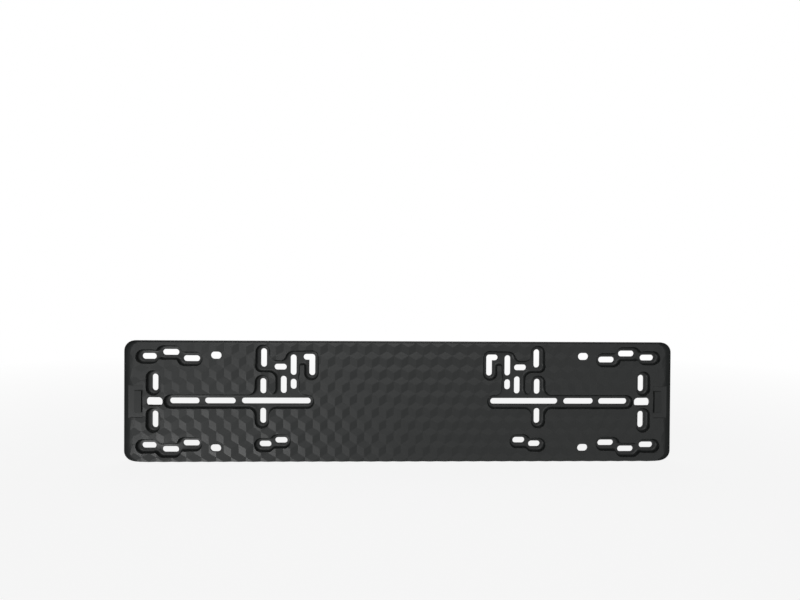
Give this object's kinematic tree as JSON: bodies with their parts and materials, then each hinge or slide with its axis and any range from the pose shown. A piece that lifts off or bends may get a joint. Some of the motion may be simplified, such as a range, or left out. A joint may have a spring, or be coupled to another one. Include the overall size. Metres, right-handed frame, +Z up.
{
  "type": "number plate holder",
  "caption": "Flat black moulded base plate that screws to a car and carries a number plate, with slots sunk in recesses of a faceted, cube-patterned face.",
  "frame": {"origin": "middle of the back, on the plane that lies against the car", "axes": "+X along the plate's width to the right as seen from the front, +Y into the car, +Z up; the patterned front faces -Y"},
  "size_m": [0.54, 0.0094, 0.1178],
  "materials": {
    "black_plastic": "satin black moulded plastic with a fine grain"
  },
  "bodies": {
    "root": {"holder_plate": "black_plastic"}
  },
  "joints": []
}
